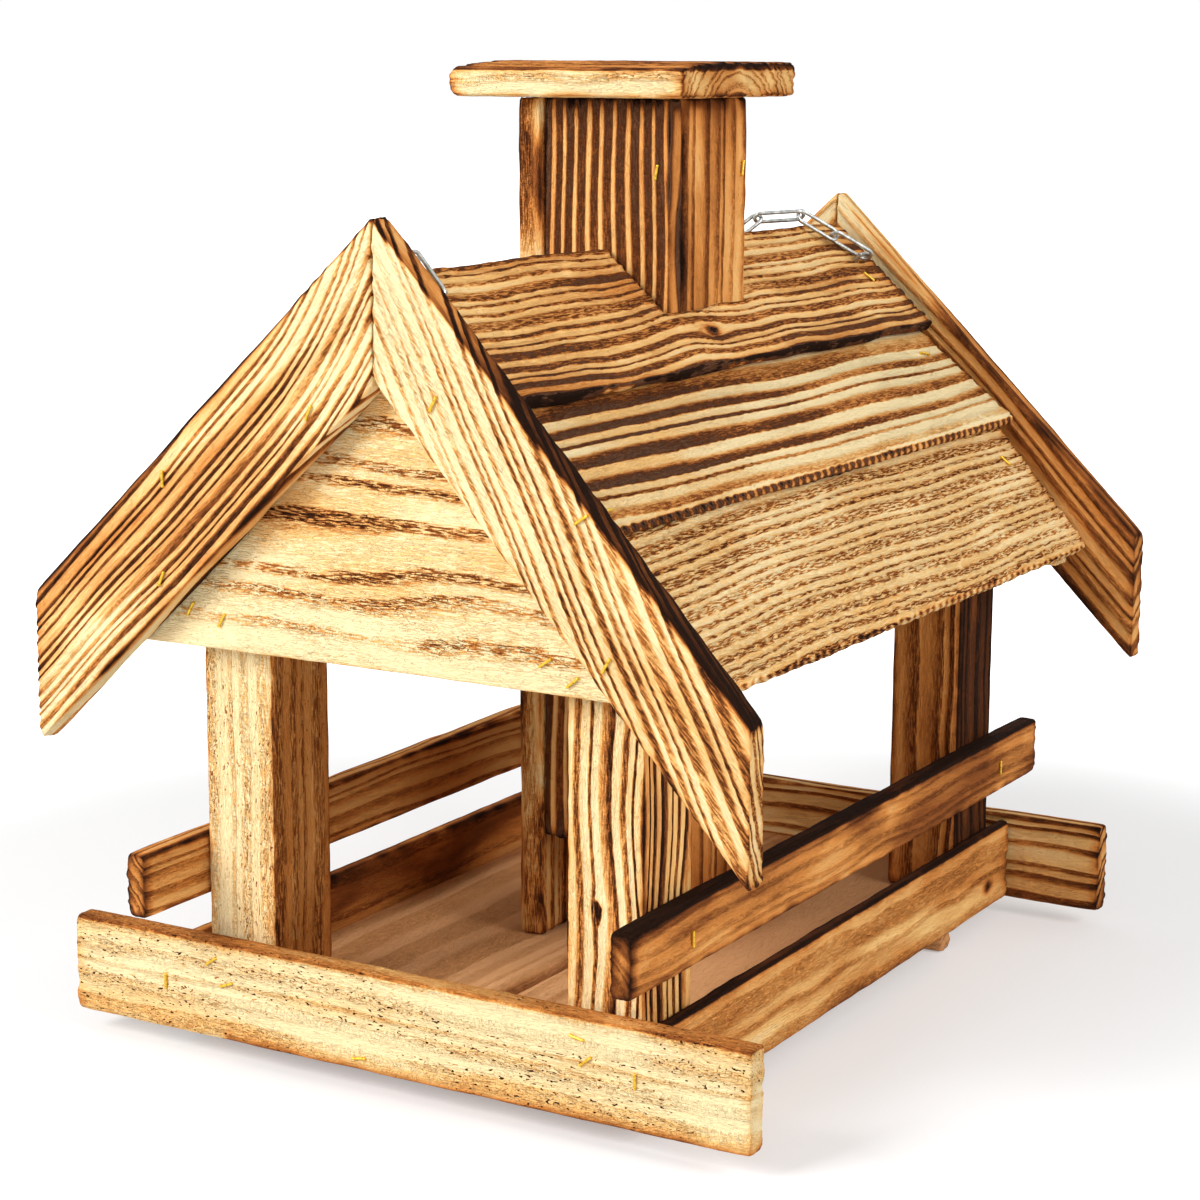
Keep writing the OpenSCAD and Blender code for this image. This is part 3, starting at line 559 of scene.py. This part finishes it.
# BARGEBOARDS. A pair at each end, mitred plumb at the point and cut plumb at the
# eaves; the front left one is striped all over, the front right one pale with brown
# streaks in its lower half, and the upper edges of both are burnt black.
barge_stripe = scorched("striped bargeboard pine", pale_burn, bite=0.62, fleck=0.16, patch=1.2, base=0.2,
                        uneven=0.4)
barge_pale = scorched("pale bargeboard pine", pale_burn, bite=0.6, fleck=0.3, patch=0.8, base=-0.04)
barge_brown = scorched("brown bargeboard pine", pale_burn, bite=0.35, fleck=0.13, patch=0.6, base=0.38)
for node, side, slope, face, finish, (top, tail, tail_u, tail_v), log in (
    ("front_left_bargeboard", -1, 42.8, minus[Y], barge_stripe, (0.75, -0.3, 0.17, 0.03),
     cut_from_log(31, (-0.04, -0.02), 0.0037, 0.0006, late=0.5, bend=(0.03, 0.045))),
    ("front_right_bargeboard", 1, 47.2, minus[Y], barge_pale, (0.8, 0.14, 0.15, -1.0),
     cut_from_log(32, (-0.09, -0.03), 0.0042, lean=0.3)),
    ("back_left_bargeboard", -1, 42.8, Y, barge_brown, (0.1, 0.0, 0.0, 0.0),
     cut_from_log(33, (-0.04, -0.02), 0.005)),
    ("back_right_bargeboard", 1, 44.4, Y, barge_brown, (0.1, 0.0, 0.0, 0.0),
     cut_from_log(34, (-0.04, -0.02), 0.006)),
):
    a = math.radians(slope)
    down = (side * math.cos(a), 0, -math.sin(a))
    inward = (-side * math.sin(a), 0, -math.cos(a))
    axes = np.array([down, inward, face], float)
    spread = outline_of(node) @ axes.T
    low, high = spread.min(0), spread.max(0)
    width, thick = high[1] - low[1], high[2] - low[2]
    plumb = math.tan(a) * width
    run = high[0] - low[0] - plumb

    def barge_shape(s, t, r, run=run, width=width, thick=thick, plumb=plumb):
        """Fractions to metres: both ends lean by the same plumb cut."""
        return s * run + t * plumb, t * width, r * thick

    def barge_burn(u, v, w, top=top, tail=tail, tail_u=tail_u, tail_v=tail_v):
        """Burnt by top on the upper edge and paler near the ridge; past tail_u down the board and
        tail_v across it, tail is added."""
        upper_edge = top * np.exp(-v / 0.0007)
        ridge = 0.38 * np.exp(-(u / 0.07)**2)
        return upper_edge - ridge + tail * (v > tail_v) * np.clip((u - tail_u) / 0.05, 0, 1)

    timber(node + "_board", [node], "house", "pale_pine" if side > 0 else "warm_pine", finish,
           (run, width, thick), axes, low @ axes, log, shape=barge_shape, layer=0.002, row=0.0008,
           sooty=(0.35, 0.0), zone=barge_burn)

# ROOF PLANKS. Three lapped planks a side, their show faces striped by the flame; the
# upper ones have wavy lower edges and are notched round the hopper, and the lower
# edges of the others show slanting saw marks. cu, cv and cw are the CAD corners along,
# down and out of the slope; those well inside the ends belong to a notch.
# The upper and middle planks take the ash tones, whose grey brown is partly a painted sheen of the char.
upper_pine = scorched("orange roof pine", ash_and_sheen_burn, bite=0.42, fleck=0.24, patch=0.7, base=0.22)
middle_pine = scorched("cream roof pine", ash_and_sheen_burn, bite=0.66, fleck=0.16, patch=0.7, base=0.05, late=0.42)
lower_pine = scorched("tan roof pine", pale_burn, bite=0.4, fleck=0.55, patch=0.5, base=0.12, worm=0.5)


def saw_marks(u, w):
    """Burn across a sawn edge, from 0 to 0.52, in stripes 6.8 mm apart."""
    return 0.26 * (1 + np.sin(2 * np.pi * (u + 0.8 * w) / 0.0068))


def upper_burn(u, v, w):
    """The lower edge is charred in clouds."""
    return far_edge(v) * (0.3 + 0.25 * ripple(u, w, 3, (0.03, 0.01)))


def middle_burn(u, v, w):
    """The lower edge is sawn and brown, and the bands fade towards the back."""
    return far_edge(v) * (0.28 + saw_marks(u, w)) - 0.2 * np.clip((u - 0.12) / 0.2, 0, 1)


def lower_burn(u, v, w):
    """The lower edge is sawn and pale."""
    return far_edge(v) * (saw_marks(u, w) - 0.2)


for node, side, slope, finish, burn, log, edge in (
    ("upper_right_plank", 1, 41.5, upper_pine, upper_burn,
     cut_from_log(41, (-0.06, -0.03), 0.0052, 0.0006, knots=((0.185, 0.056, 0.004),)), (0.0022, 0.08)),
    ("upper_left_plank", -1, 41.5, upper_pine, upper_burn,
     cut_from_log(42, (-0.06, -0.03), 0.0052, 0.0006), (0.0018, 0.07)),
    ("middle_right_plank", 1, 38, middle_pine, middle_burn,
     cut_from_log(43, (-0.05, -0.03), 0.0085, 0.0006), (0.0005, 0.009)),
    ("middle_left_plank", -1, 38, middle_pine, middle_burn,
     cut_from_log(44, (-0.05, -0.03), 0.0085, 0.0006), (0.0005, 0.009)),
    ("lower_right_plank", 1, 49, lower_pine, lower_burn,
     cut_from_log(45, (-0.05, -0.03), 0.005), (0.0005, 0.008)),
    ("lower_left_plank", -1, 49, lower_pine, lower_burn,
     cut_from_log(46, (-0.05, -0.03), 0.005), (0.0005, 0.008)),
):
    a = math.radians(slope)
    down = (side * math.cos(a), 0, -math.sin(a))
    outward = (side * math.sin(a), 0, math.cos(a))
    axes = np.array([Y, down, outward], float)
    spread = outline_of(node) @ axes.T
    low, high = spread.min(0), spread.max(0)
    long, wide, deep = high - low
    cu, cv, cw = (np.unique(spread.round(5), axis=0) - low).T
    near, inside, least_notch = 0.0001, 0.01, 0.004
    bevel = cv[(cu < near) & (cw < near)].min()
    notched = (cu > inside) & (cu < long - inside) & (cv > bevel + 0.001)
    high_cut = cv[notched & (cw > deep / 2)].max(initial=0.0)
    low_cut = cv[notched & (cw < deep / 2)].max(initial=0.0)
    notch = None
    if min(high_cut, low_cut) > least_notch:
        start, end = cu[notched].min() / long, cu[notched].max() / long
        notch = {"lines": ([start, end], [0.5], []),
                 "cut": lambda s, t, r, start=start, end=end: (s > start) & (s < end) & (t < 0.5)}
    else:
        high_cut = low_cut = 0.5 * wide

    def plank_shape(s, t, r, long=long, wide=wide, deep=deep, bevel=bevel, high_cut=high_cut,
                    low_cut=low_cut):
        """Fractions to metres. Half the rows lie before the notch's wall and half behind it, the wall
        is plumb, and the ridge edge is cut plumb too."""
        head = bevel * (1 - r)
        wall = low_cut + (high_cut - low_cut) * r
        v = np.where(t < 0.5, head + (wall - head) * 2 * t, wall + (wide - wall) * (2 * t - 1))
        return s * long, v, r * deep

    timber(node + "_board", [node], "house", "warm_pine", finish, (long, wide, deep), axes, low @ axes, log,
           shape=plank_shape, notch=notch, edge=edge, sooty=(0.35, 0.2), layer=0.0018, ragged=0.002,
           step=0.004 if finish is upper_pine else 0.0016, zone=burn)

# HOPPER. Four boards butted in turn round a shaft, their grain upright, standing
# through the roof like a chimney and reaching down to the floor. The front one is
# browned along its right edge, from browned on.
browned = 0.0621
# The dark hopper board takes the ash tones, whose grey brown is partly a painted sheen of the char.
hopper_dark = scorched("dark hopper pine", ash_and_sheen_burn, bite=0.42, fleck=0.096, patch=0.5, base=0.23, late=0.7,
                       uneven=0.1, wobble=0.05)
hopper_gold = scorched("golden hopper pine", pale_burn, bite=0.3, fleck=0.26, patch=2.2, base=0.2)
hopper_brown = scorched("brown hopper pine", pale_burn, bite=0.26, fleck=0.096, patch=0.6, base=0.41)
for node, finish, across, face, edge_burn, log in (
    ("hopper_front_board", hopper_dark, X, minus[Y], 0.18,
     cut_from_log(51, (-0.08, -0.02), 0.006, late=0.75, varied=0.15)),
    ("hopper_back_board", hopper_brown, X, Y, 0.0, cut_from_log(52, (-0.08, -0.02), 0.006)),
    ("hopper_left_board", hopper_gold, Y, minus[X], 0.0, cut_from_log(53, (-0.05, -0.02), 0.006)),
    ("hopper_right_board", hopper_brown, Y, X, 0.0, cut_from_log(54, (-0.05, -0.02), 0.008)),
):
    squared(node + "_board", node, "house", "charred_pine", finish, Z, across, face, log, sooty=(0.4, 0.2),
            layer=0.0015, zone=lambda u, v, w, burn=edge_burn: burn * (v > browned))

# LID. A thick offcut laid over the hopper, worn lower at its front edge, with a
# planed block nailed under it that keys it in the shaft.
lid_pine = scorched("pale lid pine", pale_burn, bite=0.22, fleck=0.22, patch=0.5, base=0.0, worm=0.55)
low, high = (np.array(c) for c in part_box("lid"))
corners = np.unique(outline_of("lid")[:, [1, 2]].round(6), axis=0)
top = corners[corners[:, 1] > low[2] + 0.005]
lid_size = high - low


def lid_shape(s, t, r):
    """Fractions to metres: the thickness at each depth is that of the worn top."""
    y = t * lid_size[1]
    return s * lid_size[0], y, r * np.interp(y + low[1], top[:, 0], top[:, 1] - low[2])


def lid_burn(u, v, w):
    """The worn top is browned, and so are both sawn ends, the left one in a soft edge."""
    lowest_top = 0.0122
    return 0.42 * (w > lowest_top) + 0.15 * far_edge(u, 0.0005) + 0.3 * np.exp(-u / 0.003)


timber("lid_board", ["lid"], "lid", "pale_pine", lid_pine, tuple(lid_size), [X, Y, Z], low,
       cut_from_log(61, (0.05, -0.02), 0.0045), shape=lid_shape, layer=0.0012, sooty=(0.4, 0.12),
       ragged=0.0008, zone=lid_burn)
squared("lid_block_board", "lid_block", "lid", "planed_pine", floor_pine, X, Y, minus[Z],
        cut_from_log(62, (0.02, -0.02), 0.004, 0.0002), sooty=(0.3, 0.2))

# CHAIN. Knotless links of zinc plated wire, and the two staples that hold it to the
# roof. The CAD solids show, with a dull bright metal on them.
zinc = Paint("zinc plated wire")
spot = Tone(zinc, zinc.node("ShaderNodeTexCoord").outputs["Object"])
cloud = zinc.grain(spot, (420, 420, 420), 3.0)
zinc.feed(zinc.shader, {
    "Base Color": zinc.ramp(cloud, ((0.3, rgb(150, 152, 150)), (0.7, rgb(214, 216, 212)))),
    "Roughness": 0.24 + cloud * 0.2,
    "Normal": zinc.bump(cloud, 0.0001),
})
zinc.shader.inputs["Metallic"].default_value = 1.0
for node in ("hanging_chain", "chain_staples"):
    for slot_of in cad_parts[node].material_slots:
        slot_of.material = zinc.finish

# STAPLES. Bright brass coloured wire staples, driven in at all angles.
brass = Paint("brass staple wire")
spot = Tone(brass, brass.node("ShaderNodeTexCoord").outputs["Object"])
cloud = brass.grain(spot, (900, 900, 900), 2.0)
brass.feed(brass.shader, {
    "Base Color": brass.ramp(cloud, ((0.3, rgb(206, 156, 26)), (0.7, rgb(252, 214, 78)))),
    "Roughness": 0.22 + cloud * 0.15,
    "Normal": brass.bump(cloud, 0.00008),
})
brass.shader.inputs["Metallic"].default_value = 0.7
for node in ("tray_staples", "railing_staples", "gable_staples", "bargeboard_staples", "roof_staples",
             "hopper_staples"):
    for slot_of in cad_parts[node].material_slots:
        slot_of.material = brass.finish
